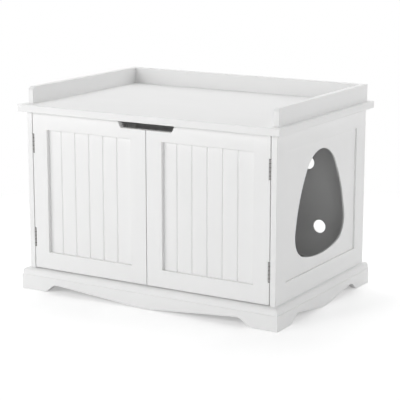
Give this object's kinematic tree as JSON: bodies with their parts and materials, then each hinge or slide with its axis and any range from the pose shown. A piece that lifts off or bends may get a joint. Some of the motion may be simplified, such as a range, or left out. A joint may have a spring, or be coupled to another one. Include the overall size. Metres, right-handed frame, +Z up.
{
  "type": "cat litter box cabinet",
  "caption": "White wooden cabinet that hides a cat litter tray: beadboard doors on butt hinges, a pear-shaped side entrance, air holes, a shaped plinth and a railed top.",
  "frame": {"origin": "on the floor, under the middle of the top board", "axes": "+X towards the side with the entrance, +Y from the doors to the back, +Z up"},
  "size_m": [0.75, 0.52, 0.525],
  "materials": {
    "white_paint": "satin white paint over wood",
    "hinge_steel": "dark satin nickel plate",
    "bright_steel": "zinc plated",
    "cam_zinc": "die cast",
    "catch_plastic": "moulded, satin",
    "magnet": "matt ferrite",
    "dowel_wood": "fluted beech, bare",
    "bare_pine": "sawn, bare"
  },
  "bodies": {
    "cabinet": {"back_gallery_rail": "white_paint", "back_panel": "white_paint", "back_stretcher": "white_paint", "cam_bolts": "bright_steel", "cam_locks": "cam_zinc", "catch_housings": "catch_plastic", "catch_magnets": "magnet", "catch_screws": "bright_steel", "corner_blocks": "bare_pine", "floor_panel": "white_paint", "frame_screws": "bright_steel", "front_plinth": "white_paint", "gallery_screws": "bright_steel", "hinge_frame_screws": "bright_steel", "hinge_pins": "bright_steel", "left_gallery_rail": "white_paint", "left_lower_hinge_frame_leaf": "hinge_steel", "left_plinth": "white_paint", "left_side_bottom_rail": "white_paint", "left_side_front_stile": "white_paint", "left_side_panel": "white_paint", "left_side_rear_stile": "white_paint", "left_side_top_rail": "white_paint", "left_upper_hinge_frame_leaf": "hinge_steel", "plinth_dowels": "dowel_wood", "plinth_screws": "bright_steel", "right_gallery_rail": "white_paint", "right_lower_hinge_frame_leaf": "hinge_steel", "right_plinth": "white_paint", "right_side_bottom_rail": "white_paint", "right_side_front_stile": "white_paint", "right_side_panel": "white_paint", "right_side_rear_stile": "white_paint", "right_side_top_rail": "white_paint", "right_upper_hinge_frame_leaf": "hinge_steel", "top_board": "white_paint", "top_dowels": "dowel_wood"},
    "left_door": {"left_door_bottom_rail": "white_paint", "left_door_dowels": "dowel_wood", "left_door_hinge_screws": "bright_steel", "left_door_hinge_stile": "white_paint", "left_door_meeting_stile": "white_paint", "left_door_panel": "white_paint", "left_door_top_rail": "white_paint", "left_lower_hinge_door_leaf": "hinge_steel", "left_strike_plate": "hinge_steel", "left_strike_screw": "bright_steel", "left_upper_hinge_door_leaf": "hinge_steel"},
    "right_door": {"right_door_bottom_rail": "white_paint", "right_door_dowels": "dowel_wood", "right_door_hinge_screws": "bright_steel", "right_door_hinge_stile": "white_paint", "right_door_meeting_stile": "white_paint", "right_door_panel": "white_paint", "right_door_top_rail": "white_paint", "right_lower_hinge_door_leaf": "hinge_steel", "right_strike_plate": "hinge_steel", "right_strike_screw": "bright_steel", "right_upper_hinge_door_leaf": "hinge_steel"}
  },
  "joints": [
    {"name": "left_door_hinge", "type": "hinge", "parent": "cabinet", "child": "left_door", "pos_m": [-0.341, -0.24, 0.26], "axis": [0, 0, -1], "range_deg": [0, 135]},
    {"name": "right_door_hinge", "type": "hinge", "parent": "cabinet", "child": "right_door", "pos_m": [0.341, -0.24, 0.26], "axis": [0, 0, 1], "range_deg": [0, 135]}
  ]
}
